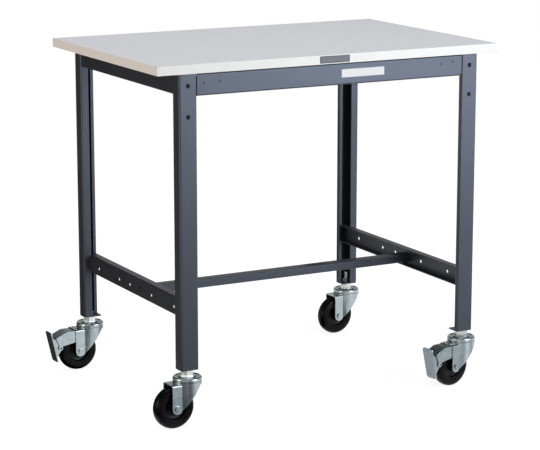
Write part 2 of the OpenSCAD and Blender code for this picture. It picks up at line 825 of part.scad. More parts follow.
board();
long_edging(-1);  // front_edging
long_edging(1);  // rear_edging
end_edging(-1);  // left_edging
end_edging(1);  // right_edging
leg(0);  // leg_front_left
leg(1);  // leg_front_right
leg(2);  // leg_rear_left
leg(3);  // leg_rear_right
foot_plates();
apron(-1);  // front_apron
apron(1);  // rear_apron
top_rail(-1);  // left_top_rail
top_rail(1);  // right_top_rail
low_rail(-1);  // left_low_rail
low_rail(1);  // right_low_rail
stretcher();
corner_brackets();
frame_bolts();
frame_nuts();
stretcher_bolts();
board_screws();
stem_nuts();
castor_stems();
stem_washers();
race_caps();
race_balls();
fork(0);  // fork_front_left
fork(1);  // fork_front_right
fork(2);  // fork_rear_left
fork(3);  // fork_rear_right
axle(0);  // axle_front_left
axle(1);  // axle_front_right
axle(2);  // axle_rear_left
axle(3);  // axle_rear_right
bush(0);  // bush_front_left
bush(1);  // bush_front_right
bush(2);  // bush_rear_left
bush(3);  // bush_rear_right
hub(0);  // hub_front_left
hub(1);  // hub_front_right
hub(2);  // hub_rear_left
hub(3);  // hub_rear_right
tyre(0);  // tyre_front_left
tyre(1);  // tyre_front_right
tyre(2);  // tyre_rear_left
tyre(3);  // tyre_rear_right
brake_bracket(1);  // brake_bracket_front_right
brake_bracket(2);  // brake_bracket_rear_left
bracket_rivets(1);  // bracket_rivets_front_right
bracket_rivets(2);  // bracket_rivets_rear_left
pedal_pin(1);  // pedal_pin_front_right
pedal_pin(2);  // pedal_pin_rear_left
brake_pedal(1);  // brake_pedal_front_right
brake_pedal(2);  // brake_pedal_rear_left
brake_shoe(1);  // brake_shoe_front_right
brake_shoe(2);  // brake_shoe_rear_left
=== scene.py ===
# %% [markdown]
# # A mobile work table
#
# The table is a laminated board on a bolted frame of folded sheet steel, and it stands on four swivel
# castors. The construction is fixed already: it is loaded as a frame of solids, in metres, with +X to the
# right, +Y to the back and +Z up. This script adds what a solid can't show: paint, plating, rubber, turned
# profiles and small marks.

# %% Load the construction
import json
import math

import bpy
import numpy as np
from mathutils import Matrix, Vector


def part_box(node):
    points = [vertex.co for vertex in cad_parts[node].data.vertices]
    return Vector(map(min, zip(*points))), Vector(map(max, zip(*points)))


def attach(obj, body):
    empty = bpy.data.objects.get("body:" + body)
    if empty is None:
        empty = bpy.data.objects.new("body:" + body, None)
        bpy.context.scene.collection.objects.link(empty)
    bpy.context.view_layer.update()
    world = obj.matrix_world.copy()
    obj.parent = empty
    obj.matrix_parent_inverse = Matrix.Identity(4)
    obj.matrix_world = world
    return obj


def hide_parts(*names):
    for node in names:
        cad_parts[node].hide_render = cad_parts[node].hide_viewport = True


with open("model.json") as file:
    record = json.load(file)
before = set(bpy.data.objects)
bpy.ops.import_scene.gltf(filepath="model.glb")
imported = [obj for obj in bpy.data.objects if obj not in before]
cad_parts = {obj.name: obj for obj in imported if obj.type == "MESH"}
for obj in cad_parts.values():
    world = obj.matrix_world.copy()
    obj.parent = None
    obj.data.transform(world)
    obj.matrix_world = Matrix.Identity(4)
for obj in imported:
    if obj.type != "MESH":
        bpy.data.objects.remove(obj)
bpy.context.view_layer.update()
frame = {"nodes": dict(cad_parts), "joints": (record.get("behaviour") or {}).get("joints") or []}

nodes = frame["nodes"]
joints = {j["name"]: j for j in frame["joints"]}
CORNERS = ["front_left", "front_right", "rear_left", "rear_right"]
print("solids loaded:", len(nodes), "joints:", len(joints))

# %% [markdown]
# ## The camera
#
# The photograph was taken from the front left, a little above the board, from far away with a long lens, so
# that the legs stay almost parallel. A camera can be placed by hand until it looks right, but the corners
# of the board and the ends of the legs give its place exactly. These numbers come from such a fit on the
# image of 540 by 450.

# %% Place the camera
CAMERA_PLACE = (-2.3699, -4.3986, 1.4461)
CAMERA_YAW = 28.231
CAMERA_PITCH = 12.032
LENS = 138.233
SENSOR_WIDTH = 36
FAR_ENOUGH = 100

camera = bpy.data.objects.new("camera", bpy.data.cameras.new("camera"))
bpy.context.scene.collection.objects.link(camera)
camera.location = CAMERA_PLACE
camera.rotation_euler = (math.radians(90 - CAMERA_PITCH), 0, math.radians(-CAMERA_YAW))
camera.data.sensor_fit = "HORIZONTAL"
camera.data.sensor_width = SENSOR_WIDTH
camera.data.lens = LENS
camera.data.clip_end = FAR_ENOUGH
bpy.context.scene.camera = camera
bpy.context.scene.view_settings.view_transform = "Standard"
print("camera lens:", LENS, "mm")

# %% [markdown]
# ## Small helpers for shader nodes
#
# A material is a tree of nodes. Short functions keep the trees readable. One adds a node and fills its
# inputs, and one starts a group with named inputs and outputs. The others make what is needed again and
# again: spots of noise, a stretched range, a product, the larger of two values, and a blend of two colours.

# %% Helpers for node trees
def add(tree, kind, inputs=None, **settings):
    """Adds a shader node of this kind, sets its properties, and fills its inputs from values or sockets."""
    node = tree.nodes.new("ShaderNode" + kind)
    for name, value in settings.items():
        setattr(node, name, value)
    for name, value in (inputs or {}).items():
        if isinstance(value, bpy.types.NodeSocket):
            tree.links.new(value, node.inputs[name])
        else:
            node.inputs[name].default_value = value
    return node


def start_group(name, inputs, outputs):
    """Starts a node group; inputs are (name, kind, default) and outputs are (name, kind)."""
    group = bpy.data.node_groups.new(name, "ShaderNodeTree")
    for label, kind, default in inputs:
        socket = group.interface.new_socket(label, in_out="INPUT", socket_type="NodeSocket" + kind)
        if default is not None:
            socket.default_value = default
    for label, kind in outputs:
        group.interface.new_socket(label, in_out="OUTPUT", socket_type="NodeSocket" + kind)
    return group, group.nodes.new("NodeGroupInput").outputs, group.nodes.new("NodeGroupOutput").inputs


def noise(tree, vector, scale, detail=2.0, roughness=0.5):
    """A cloud of soft spots; scale is about how many spots there are in a metre."""
    return add(tree, "TexNoise", {"Vector": vector, "Scale": scale, "Detail": detail, "Roughness": roughness})


def spread(tree, value, low, high, out_low=0.0, out_high=1.0):
    """Stretches the part of value between low and high over a new range, and clamps the rest."""
    return add(tree, "MapRange", {"Value": value, "From Min": low, "From Max": high,
                                  "To Min": out_low, "To Max": out_high}).outputs["Result"]


def product(tree, first, second):
    """One value times the other."""
    return add(tree, "Math", {0: first, 1: second}, operation="MULTIPLY").outputs["Value"]


def larger(tree, first, second):
    """The larger one of two values, which for yes and no means that either is true."""
    return add(tree, "Math", {0: first, 1: second}, operation="MAXIMUM").outputs["Value"]


def blend_colours(tree, share, first, second):
    """Goes from the first colour to the second as share goes from 0 to 1."""
    return add(tree, "Mix", {0: share, 6: first, 7: second}, data_type="RGBA").outputs[2]


print("node helpers ready")

# %% [markdown]
# ## Effects that several finishes share
#
# Powder coat has a faint orange peel and hardly any change of shade. Zinc plate shows the rolling direction
# of the sheet and a slightly uneven bluish bloom. Plastics and rubber have a fine grain, with dust in broad
# patches. Every edge that hands and tools touch is worn a little brighter, which the Bevel node finds. It
# gives the normal that a rounded edge would have, and the dot product of this normal and the true one is 1
# on a flat face and less at an edge. Corners and seams do the opposite: they get a little dust and painted
# shade, darker where the occlusion node finds a surface hemmed in. Each effect is a group, so that paint on
# a leg and paint on a rail have the same texture with their own values.

# %% Group: worn edges
worn, given, result = start_group(
    "worn_edges",
    [("Vector", "Vector", None), ("Width", "Float", 0.0012), ("Patchiness", "Float", 40.0)],
    [("Mask", "Float")])
round_normal = add(worn, "Bevel", {"Radius": given["Width"]}, samples=4).outputs["Normal"]
true_normal = add(worn, "NewGeometry").outputs["True Normal"]
agreement = add(worn, "VectorMath", {0: round_normal, 1: true_normal}, operation="DOT_PRODUCT")
at_edge = spread(worn, agreement.outputs["Value"], 0.995, 0.80)
patches = noise(worn, given["Vector"], given["Patchiness"], 4.0).outputs["Fac"]
worn.links.new(product(worn, at_edge, spread(worn, patches, 0.42, 0.62)), result["Mask"])
print("group:", worn.name)

# %% Group: cavity dust and painted shade
cavity, given, result = start_group(
    "cavity_dust_and_shade",
    [("Reach", "Float", 0.003), ("Strength", "Float", 0.35)],
    [("Mask", "Float")])
# The mask is dust and painted shade: it rises where the occlusion node finds little open space.
openness = add(cavity, "AmbientOcclusion", {"Distance": given["Reach"]}, samples=6).outputs["AO"]
hidden = spread(cavity, openness, 0.75, 0.25)
cavity.links.new(product(cavity, hidden, given["Strength"]), result["Mask"])
print("group:", cavity.name)

# %% Group: powder coat
coat, given, result = start_group(
    "powder_coat",
    [("Vector", "Vector", None), ("Colour", "Color", (0.05, 0.055, 0.07, 1)),
     ("Lighter", "Color", (0.06, 0.066, 0.083, 1)), ("Peel", "Float", 700.0)],
    [("Colour", "Color"), ("Roughness", "Float"), ("Height", "Float")])
clouds = noise(coat, given["Vector"], 9.0, 3.0).outputs["Fac"]
shade = blend_colours(coat, spread(coat, clouds, 0.35, 0.65), given["Colour"], given["Lighter"])
peel = noise(coat, given["Vector"], given["Peel"]).outputs["Fac"]
coat.links.new(shade, result["Colour"])
coat.links.new(spread(coat, peel, 0.3, 0.7, 0.34, 0.44), result["Roughness"])
coat.links.new(peel, result["Height"])
print("group:", coat.name)

# %% Group: zinc plate
plate, given, result = start_group(
    "zinc_plate",
    [("Vector", "Vector", None), ("Colour", "Color", (0.36, 0.42, 0.44, 1)),
     ("Bloom", "Color", (0.40, 0.46, 0.475, 1)), ("Rough low", "Float", 0.24), ("Rough high", "Float", 0.30)],
    [("Colour", "Color"), ("Roughness", "Float"), ("Height", "Float")])
stretch = add(plate, "Mapping", {"Vector": given["Vector"], "Scale": (1.0, 1.0, 0.06)}).outputs["Vector"]
streaks = noise(plate, stretch, 180.0, 1.0, 0.4).outputs["Fac"]
bloom = noise(plate, given["Vector"], 55.0, 2.0, 0.5).outputs["Fac"]
tint = blend_colours(plate, spread(plate, bloom, 0.38, 0.62), given["Colour"], given["Bloom"])
both = product(plate, bloom, streaks)
rough = spread(plate, both, 0.12, 0.40, given["Rough low"], given["Rough high"])
plate.links.new(tint, result["Colour"])
plate.links.new(rough, result["Roughness"])
plate.links.new(streaks, result["Height"])
print("group:", plate.name)

# %% Group: fine grain of plastics and rubber
grain, given, result = start_group(
    "fine_grain",
    [("Vector", "Vector", None), ("Colour", "Color", (0.02, 0.02, 0.02, 1)),
     ("Dust", "Color", (0.05, 0.05, 0.05, 1)), ("Grain", "Float", 500.0), ("Dusty", "Float", 0.6),
     ("Rough low", "Float", 0.4), ("Rough high", "Float", 0.6)],
    [("Colour", "Color"), ("Roughness", "Float"), ("Height", "Float")])
fine = noise(grain, given["Vector"], given["Grain"], 3.0).outputs["Fac"]
broad = noise(grain, given["Vector"], 30.0, 4.0).outputs["Fac"]
share = product(grain, spread(grain, broad, 0.4, 0.7), given["Dusty"])
grain.links.new(blend_colours(grain, share, given["Colour"], given["Dust"]), result["Colour"])
rough = spread(grain, fine, 0.3, 0.7, given["Rough low"], given["Rough high"])
grain.links.new(rough, result["Roughness"])
grain.links.new(fine, result["Height"])
print("group:", grain.name)

# %% [markdown]
# ## The finishes
#
# Every finish is made in the same way: object coordinates, one group for its texture, worn edges, dust and
# painted shade in the corners, and a bump. The numbers that are the same all over a surface, such as how
# metallic it is, stay on the shader's own sockets.

# %% Helper: one finish
# Near-black colour of corners and seams: a little dust and painted shade.
CORNER_DUST_AND_SHADE = (0.012, 0.011, 0.010, 1)
DUST_ROUGHNESS = 0.75


def finish(name, group, values, edge_colour, edge_share, bump, metallic=0.0, specular=0.5, edge_width=0.0012,
           tint=(1.0, 1.0, 1.0)):
    """A material of a texture group, with worn edges mixed over it by edge_share, dust and painted shade in
    its corners, and a bump of this height in metres."""
    material = bpy.data.materials.new(name)
    material.use_nodes = True
    tree = material.node_tree
    tree.nodes.clear()
    place = add(tree, "TexCoord").outputs["Object"]
    texture = add(tree, "Group", node_tree=group)
    edges = add(tree, "Group", node_tree=worn)
    for node in (texture, edges):
        tree.links.new(place, node.inputs["Vector"])
    for label, value in values.items():
        texture.inputs[label].default_value = value
    edges.inputs["Width"].default_value = edge_width
    corner_dust_and_shade = add(tree, "Group", node_tree=cavity).outputs["Mask"]
    share = product(tree, edges.outputs["Mask"], edge_share)
    colour = blend_colours(tree, share, texture.outputs["Colour"], edge_colour)
    # Corners and seams go towards the near-black colour: dust and painted shade.
    colour = blend_colours(tree, corner_dust_and_shade, colour, CORNER_DUST_AND_SHADE)
    rough = add(tree, "Mix", {0: corner_dust_and_shade, 2: texture.outputs["Roughness"], 3: DUST_ROUGHNESS}).outputs[0]
    relief = add(tree, "Bump", {"Height": texture.outputs["Height"], "Strength": 1.0, "Distance": bump})
    shader = add(tree, "BsdfPrincipled", {
        "Base Color": colour, "Roughness": rough, "Normal": relief.outputs["Normal"],
        "Metallic": metallic, "Specular IOR Level": specular, "Specular Tint": (*tint, 1)})
    surface = add(tree, "OutputMaterial")
    tree.links.new(shader.outputs["BSDF"], surface.inputs["Surface"])
    return material


print("finish() ready")

# %% [markdown]
# ### Board
#
# The board is chipboard under a melamine laminate. The laminate is a light, slightly cool grey with a faint
# satin. Its long edges carry a white band. Its ends look warmer in the photograph, and their bands get a
# warmer and lighter colour: painted light, for the warm light on the shaded left end. One flat colour
# would pass from far away, but a real laminate has a fine grain that breaks up its reflection, so all three
# use the group for fine grain, each with its own colours and roughness.

# %% Finishes of the board
laminate_top = finish(
    "laminate_top", grain,
    {"Colour": (0.615, 0.62, 0.64, 1), "Dust": (0.59, 0.595, 0.615, 1), "Grain": 1200.0, "Dusty": 0.8,
     "Rough low": 0.56, "Rough high": 0.66},
    edge_colour=(0.66, 0.66, 0.67, 1), edge_share=0.5, bump=0.00002, specular=0.22)
white_band = finish(
    "white_band", grain,
    {"Colour": (0.73, 0.71, 0.665, 1), "Dust": (0.69, 0.67, 0.63, 1), "Grain": 700.0, "Dusty": 0.6,
     "Rough low": 0.40, "Rough high": 0.52},
    edge_colour=(0.80, 0.80, 0.79, 1), edge_share=0.5, bump=0.00003, specular=0.4)
# The end bands' warmer, lighter colour is painted light for the shaded left end.
warm_band = finish(
    "warm_band", grain,
    {"Colour": (0.80, 0.735, 0.685, 1), "Dust": (0.75, 0.685, 0.635, 1), "Grain": 700.0, "Dusty": 0.7,
     "Rough low": 0.42, "Rough high": 0.55},
    edge_colour=(0.82, 0.77, 0.73, 1), edge_share=0.5, bump=0.00003, specular=0.3)
print("board finishes:", laminate_top.name, white_band.name, warm_band.name)

# %% [markdown]
# ### Frame
#
# The frame's sheet steel has a dark powder coat that mirrors blue-grey. A lighter blue-grey paint would
# match the legs' fronts but not their left sides, which are almost black in the photograph. So the paint
# itself is nearly black, and the blue-grey is in the tint of what it mirrors. Over a weld the coat is a
# little darker and more uneven. The bolts are blackened, and their rims are a little brighter: partly wear
# and partly a painted highlight.

# %% Finishes of the frame
frame_coat = finish(
    "frame_coat", coat,
    {"Colour": (0.019, 0.019, 0.021, 1), "Lighter": (0.023, 0.023, 0.025, 1), "Peel": 700.0},
    edge_colour=(0.10, 0.11, 0.13, 1), edge_share=0.6, bump=0.00004, specular=0.70, tint=(0.70, 0.80, 1.0))
weld_coat = finish(
    "weld_coat", coat,
    {"Colour": (0.008, 0.008, 0.010, 1), "Lighter": (0.013, 0.013, 0.015, 1), "Peel": 900.0},
    edge_colour=(0.06, 0.065, 0.08, 1), edge_share=0.6, bump=0.00006, specular=0.45, tint=(0.70, 0.80, 1.0))
# The bolts' lighter rim colour is partly wear and partly a painted highlight.
black_screw = finish(
    "black_screw", coat,
    {"Colour": (0.003, 0.003, 0.004, 1), "Lighter": (0.005, 0.005, 0.006, 1), "Peel": 1500.0},
    edge_colour=(0.10, 0.10, 0.105, 1), edge_share=0.6, bump=0.00002, specular=0.30, edge_width=0.0005)
print("frame finishes:", frame_coat.name, weld_coat.name, black_screw.name)

# %% [markdown]
# ### Castors
#
# Everything pressed on a castor is zinc plate with a bluish cast. The stems are turned and brighter, and
# their nuts get a very dark, rough zinc. A metal looks like what it mirrors, so its own colour changes little
# and its roughness does the work, uneven like the plating. The wheel is black: its hub is a smooth moulded
# plastic and its tyre a rubber with a faint sheen.

# %% Finishes of the castors
zinc_sheet = finish(
    "zinc_sheet", plate, {},
    edge_colour=(0.72, 0.75, 0.76, 1), edge_share=0.6, bump=0.000004, metallic=0.95, edge_width=0.0010)
polished_zinc = finish(
    "polished_zinc", plate,
    {"Colour": (0.64, 0.67, 0.65, 1), "Bloom": (0.70, 0.73, 0.70, 1), "Rough low": 0.22, "Rough high": 0.30},
    edge_colour=(0.85, 0.86, 0.85, 1), edge_share=0.5, bump=0.000004, metallic=0.85, edge_width=0.0008)
# The nuts get a very dark, rough zinc colour.
dark_rough_zinc = finish(
    "dark_rough_zinc", plate,
    {"Colour": (0.09, 0.095, 0.105, 1), "Bloom": (0.12, 0.125, 0.13, 1),
     "Rough low": 0.34, "Rough high": 0.46},
    edge_colour=(0.30, 0.31, 0.32, 1), edge_share=0.5, bump=0.000006, metallic=0.85, edge_width=0.0006)
bright_steel = finish(
    "bright_steel", plate,
    {"Colour": (0.70, 0.71, 0.70, 1), "Bloom": (0.78, 0.78, 0.76, 1), "Rough low": 0.14, "Rough high": 0.24},
    edge_colour=(0.9, 0.9, 0.9, 1), edge_share=0.6, bump=0.00001, metallic=1.0, edge_width=0.0006)
hub_black = finish(
    "hub_black", grain,
    {"Colour": (0.005, 0.005, 0.006, 1), "Dust": (0.010, 0.010, 0.010, 1), "Grain": 900.0, "Dusty": 0.6,
     "Rough low": 0.24, "Rough high": 0.36},
    edge_colour=(0.04, 0.04, 0.04, 1), edge_share=0.5, bump=0.00002, specular=0.15)
tyre_rubber = finish(
    "tyre_rubber", grain,
    {"Colour": (0.002, 0.002, 0.003, 1), "Dust": (0.005, 0.005, 0.005, 1), "Grain": 600.0, "Dusty": 0.7,
     "Rough low": 0.22, "Rough high": 0.32},
    edge_colour=(0.02, 0.02, 0.02, 1), edge_share=0.4, bump=0.00003, specular=0.10)
print("castor finishes:", [m.name for m in (zinc_sheet, polished_zinc, dark_rough_zinc, bright_steel, hub_black,
                                            tyre_rubber)])

# %% [markdown]
# ## Finishes on the construction's own solids
#
# The solids have the right shapes, so they stay. Their meshes come as loose triangles with hard facets.
# Four modifiers put that right without touching the mesh: Weld joins the triangles, Bevel takes the
# sharpness off every edge, as a press or a file does, a group of geometry nodes shades smooth what lies
# between edges, and Weighted Normal keeps flat faces flat. The same could be baked into the mesh, but then
# the solid would no longer be the measured one. The low rails go without Bevel, which would leave faint
# streaks beside their holes.

# %% Modifiers for solids
SHARP_ANGLE = 28
BEVEL_ANGLE = 35
SOFT_EDGE = 0.0004
FINE_EDGE = 0.0003
BAND_EDGE = 0.0005
SCREW_EDGE = 0.0002
TOUCHING = 0.00001
FLAT_FIRST = 100


def smoothing_group(limit):
    """Geometry nodes: faces are shaded smooth, and edges that bend more than limit degrees stay sharp."""
    group = bpy.data.node_groups.new("smooth_between_edges", "GeometryNodeTree")
    group.is_modifier = True
    group.interface.new_socket("Geometry", in_out="INPUT", socket_type="NodeSocketGeometry")
    group.interface.new_socket("Geometry", in_out="OUTPUT", socket_type="NodeSocketGeometry")
    start, end = group.nodes.new("NodeGroupInput"), group.nodes.new("NodeGroupOutput")
    angle = group.nodes.new("GeometryNodeInputMeshEdgeAngle")
    flat = group.nodes.new("FunctionNodeCompare")
    flat.data_type, flat.operation = "FLOAT", "LESS_EQUAL"
    flat.inputs["B"].default_value = math.radians(limit)
    faces, edges = (group.nodes.new("GeometryNodeSetShadeSmooth") for _ in range(2))
    edges.domain = "EDGE"
    group.links.new(angle.outputs["Unsigned Angle"], flat.inputs["A"])
    group.links.new(start.outputs["Geometry"], faces.inputs["Geometry"])
    group.links.new(faces.outputs["Geometry"], edges.inputs["Geometry"])
    group.links.new(flat.outputs["Result"], edges.inputs["Shade Smooth"])
    group.links.new(edges.outputs["Geometry"], end.inputs["Geometry"])
    return group


smooth_between_edges = smoothing_group(SHARP_ANGLE)


def even_shading(piece):
    """Smooths between edges, and lets big flat faces keep their normals, so that no bend shades into them."""
    piece.modifiers.new("smooth", "NODES").node_group = smooth_between_edges
    weighted = piece.modifiers.new("flat_faces_first", "WEIGHTED_NORMAL")
    weighted.keep_sharp = True
    weighted.weight = FLAT_FIRST


def dress(node, material, edge=SOFT_EDGE):
    """Gives a solid its finish, joins its triangles, rounds its edges by this many metres and smooths it."""
    solid = nodes[node]
    solid.data.materials.clear()
    solid.data.materials.append(material)
    weld = solid.modifiers.new("weld", "WELD")
    weld.merge_threshold = TOUCHING
    if edge:
        bevel = solid.modifiers.new("soft_edge", "BEVEL")
        bevel.width = edge
        bevel.segments = 2
        bevel.limit_method = "ANGLE"
        bevel.angle_limit = math.radians(BEVEL_ANGLE)
        bevel.use_clamp_overlap = True
    even_shading(solid)


print("modifiers ready:", smooth_between_edges.name)

# %% Dress the solids
PAINTED = ["leg_" + c for c in CORNERS] + [
    "foot_plates", "front_apron", "rear_apron", "left_top_rail", "right_top_rail", "left_low_rail",
    "right_low_rail", "stretcher", "corner_brackets"]
ZINC_STARTS = ("fork_", "axle_", "brake_bracket_", "bracket_rivets_", "pedal_pin_", "brake_pedal_")
ZINCED = [n for n in nodes if n.startswith(ZINC_STARTS)]
dress("board", laminate_top)
for name in ("front_edging", "rear_edging"):
    dress(name, white_band, BAND_EDGE)
for name in ("left_edging", "right_edging"):
    dress(name, warm_band)
for name in PAINTED:
    dress(name, frame_coat, 0 if name.endswith("low_rail") else SOFT_EDGE)
for name in ZINCED:
    dress(name, zinc_sheet)
dress("castor_stems", polished_zinc, FINE_EDGE)
dress("stem_washers", zinc_sheet, FINE_EDGE)
dress("stem_nuts", dark_rough_zinc, FINE_EDGE)
for name in ("frame_bolts", "stretcher_bolts"):
    dress(name, black_screw, SCREW_EDGE)
for name in [n for n in nodes if n.startswith("bush_")] + ["frame_nuts", "board_screws", "race_balls"]:
    dress(name, bright_steel, 0)
for name in [n for n in nodes if n.startswith("brake_shoe_")]:
    dress(name, tyre_rubber)
print("painted:", len(PAINTED), "zinc plated:", len(ZINCED))

# %% [markdown]
# ## How new pieces are made
#
# A turned, pressed or moulded piece is a surface. It can be worked out as one array of points over two
# parameters: u runs round the piece and v runs along its section. The helpers below turn such a grid into a
# mesh, and close it round u, round v or both. A profile drawn with sharp corners gets small fillets first,
# because nothing that is turned or moulded has a perfectly sharp edge.

# %% Helper: a mesh from grids
AT_POLE = 0.000002


def grid_faces(rows, columns, close_rows, close_columns):
    """Quads between neighbouring points of a grid, as four index arrays side by side."""
    u = np.arange(rows if close_rows else rows - 1)
    v = np.arange(columns if close_columns else columns - 1)
    u, v = (a.ravel() for a in np.meshgrid(u, v, indexing="ij"))
    u2, v2 = (u + 1) % rows, (v + 1) % columns
    return np.stack([u * columns + v, u2 * columns + v, u2 * columns + v2, u * columns + v2], axis=1)


def solid_from_grids(name, grids, material, body, replaced=(), close_columns=True):
    """One mesh from grids of points (rows, columns, 3), each closed round its rows. Points at a pole are
    joined. A grid whose volume, the sum of a . (b x c) / 6 over its triangles, is negative is turned inside
    out."""
    points, faces, offset = [], [], 0
    for grid in grids:
        rows, columns = grid.shape[:2]
        flat = grid.reshape(-1, 3)
        quads = grid_faces(rows, columns, True, close_columns)
        a, b, c, d = (flat[quads[:, i]] for i in range(4))
        volume = np.sum(a * np.cross(b, c)) + np.sum(a * np.cross(c, d))
        quads = quads if volume > 0 else quads[:, ::-1]
        points.append(flat)
        faces.append(quads + offset)
        offset += len(flat)
    mesh = bpy.data.meshes.new(name)
    mesh.from_pydata(np.concatenate(points), [], np.concatenate(faces).tolist())
    mesh.polygons.foreach_set("use_smooth", np.ones(len(mesh.polygons), bool))
    mesh.materials.append(material)
    mesh.update()
    piece = bpy.data.objects.new(name, mesh)
    bpy.context.scene.collection.objects.link(piece)
    weld = piece.modifiers.new("close_poles", "WELD")
    weld.merge_threshold = AT_POLE
    even_shading(piece)
    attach(piece, body)
    if replaced:
        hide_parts(*replaced)
    return piece


print("grid helpers ready")

# %% Helpers: filleted and turned profiles
def filleted(corners, steps=5):
    """A profile with rounded corners. Each corner is (a, b, r): at distance r from the corner c the curve
    leaves the one side in p and reaches the other side in q, on the parabola
    (1 - t)^2 p + 2 t (1 - t) c + t^2 q."""
    corners = np.array(corners, float)
    place, reach = corners[:, :2], corners[:, 2:3]
    back, ahead = np.roll(place, 1, 0) - place, np.roll(place, -1, 0) - place
    p = place + back / np.linalg.norm(back, axis=1, keepdims=True) * reach
    q = place + ahead / np.linalg.norm(ahead, axis=1, keepdims=True) * reach
    t = np.linspace(0, 1, steps)[None, :, None]
    curve = (1 - t) ** 2 * p[:, None] + 2 * t * (1 - t) * place[:, None] + t ** 2 * q[:, None]
    return curve.reshape(-1, 2)


def turned(profile, centre, axis, steps=96):
    """A profile of (radius, height) turned round an axis: centre + height axis + radius (cos u, sin u)."""
    axis = np.array(axis, float) / np.linalg.norm(axis)
    side = np.cross(axis, (0, 0, 1.0) if abs(axis[2]) < 0.9 else (1.0, 0, 0))
    side /= np.linalg.norm(side)
    other = np.cross(axis, side)
    u = np.linspace(0, 2 * np.pi, steps, endpoint=False)[:, None, None]
    r, h = profile[None, :, 0:1], profile[None, :, 1:2]
    return np.array(centre) + h * axis + r * (np.cos(u) * side + np.sin(u) * other)


print("profile helpers ready")

# %% [markdown]
# ## Wheels
#
# A wheel has a tyre with round shoulders on a hub with a deep recess on each side. In the photograph the
# side of the tyre shows a faint raised ring, and the hub steps down twice towards its boss. A turned
# section shows such steps best: the whole wheel is two profiles turned round the axle. Each point of a
# profile is its radius, its place along the axle and the size of its fillet, in millimetres.

# %% Tyres
MM = 0.001
TYRE = [(32, -13.2, 0.5), (33.2, -15, 0.8), (36.4, -15, 0.4), (37.0, -14.5, 0.3), (37.8, -14.5, 0.3),
        (38.4, -15, 0.4), (41.2, -15, 1.6), (45.6, -12.9, 2.4), (48.6, -9.2, 2.6), (50, -4.2, 2.6),
        (50, 4.2, 2.6), (48.6, 9.2, 2.6), (45.6, 12.9, 2.4), (41.2, 15, 1.6), (38.4, 15, 0.4),
        (37.8, 14.5, 0.3), (37.0, 14.5, 0.3), (36.4, 15, 0.4), (33.2, 15, 0.8), (32, 13.2, 0.5)]
for corner in CORNERS:
    roll = joints["roll_" + corner]
    tyre = solid_from_grids("tread_" + corner, [turned(filleted(TYRE) * MM, roll["pos_m"], roll["axis"])],
                            tyre_rubber, "wheel_" + corner, ["tyre_" + corner])
print("tyres: 4, points in each:", len(tyre.data.vertices))

# %% Hubs
HUB = [(32, -13, 0.6), (32, 13, 0.6), (29.6, 13, 0.5), (28.0, 9.6, 0.9), (26.0, 5.2, 0.9), (21.5, 4.4, 0.6),
       (20.8, 3.5, 0.5), (14.2, 3.5, 1.0), (12.6, 6.0, 1.0), (11.6, 19.4, 0.6), (7.3, 19.4, 0.3),
       (7.3, -19.4, 0.3), (11.6, -19.4, 0.6), (12.6, -6.0, 1.0), (14.2, -3.5, 1.0), (20.8, -3.5, 0.5),
       (21.5, -4.4, 0.6), (26.0, -5.2, 0.9), (28.0, -9.6, 0.9), (29.6, -13, 0.5)]
for corner in CORNERS:
    roll = joints["roll_" + corner]
    hub = solid_from_grids("wheel_disc_" + corner, [turned(filleted(HUB) * MM, roll["pos_m"], roll["axis"])],
                           hub_black, "wheel_" + corner, ["hub_" + corner])
print("hubs: 4, points in each:", len(hub.data.vertices))

# %% [markdown]
# ## Race caps
#
# The cap over the ball race is the brightest thing on the table: a pressed cup whose shoulder and dish show
# as rings of light. Only a smooth surface gives clean rings, so the cap is turned from a filleted section
# too.

# %% Race caps
CAP = [(6.1, 119, 0.2), (20.9, 119, 0.3), (22.4, 117.6, 0.7), (27.4, 117.6, 0.9), (28.6, 119, 0.9),
       (31.2, 119, 1.2), (33.2, 117.8, 1.2), (34, 115.4, 1.0), (34, 109.1, 0.8), (31.5, 109.1, 0.4),
       (31.5, 111.1, 0.3), (28.4, 111.1, 0.3), (26, 112.0, 1.4), (23.6, 111.1, 0.3), (6.1, 111.1, 0.2)]
caps = [turned(filleted(CAP) * MM, (*joints["swivel_" + c]["pos_m"][:2], 0), (0, 0, 1)) for c in CORNERS]
race = solid_from_grids("crown_caps", caps, zinc_sheet, "table", ["race_caps"])
print("race caps: 4, points:", len(race.data.vertices))

# %% [markdown]
# ## Threads
#
# A cut thread is a surface whose radius depends on both parameters: it rises and falls along the stem, and
# the whole pattern climbs one pitch for each turn. A cylinder can't show that, and a modelled thread costs
# little. It is only made where the stem stands free of its nut.

# %% Stem threads
THREAD_LOW, THREAD_HIGH = 0.1470, 0.1632
CORE_R, CREST_R = 0.00590, 0.00628
PITCH = 0.00175
SLEEVE_WALL = 0.001


def threaded_sleeve(x, y, low, high, core, crest, pitch, steps=48, rings=90):
    """A closed sleeve with a screw thread: radius = core + (crest - core) |2 frac(z / pitch - u / 2 pi) - 1|,
    where the thread fades out over one pitch at both ends."""
    u = np.linspace(0, 2 * np.pi, steps, endpoint=False)[:, None]
    z = np.linspace(low, high, rings)[None, :]
    phase = (z / pitch - u / (2 * np.pi)) % 1.0
    fade = np.clip(np.minimum(z - low, high - z) / pitch, 0, 1)
    radius = core + (crest - core) * np.abs(2 * phase - 1) * fade
    outer = np.stack([x + radius * np.cos(u), y + radius * np.sin(u), z + 0 * u], axis=2)
    inner_r = core - SLEEVE_WALL
    inner = np.stack([x + inner_r * np.cos(u) + 0 * z, y + inner_r * np.sin(u) + 0 * z, z + 0 * u], axis=2)
    return np.concatenate([outer, inner[:, [-1, 0]]], axis=1)


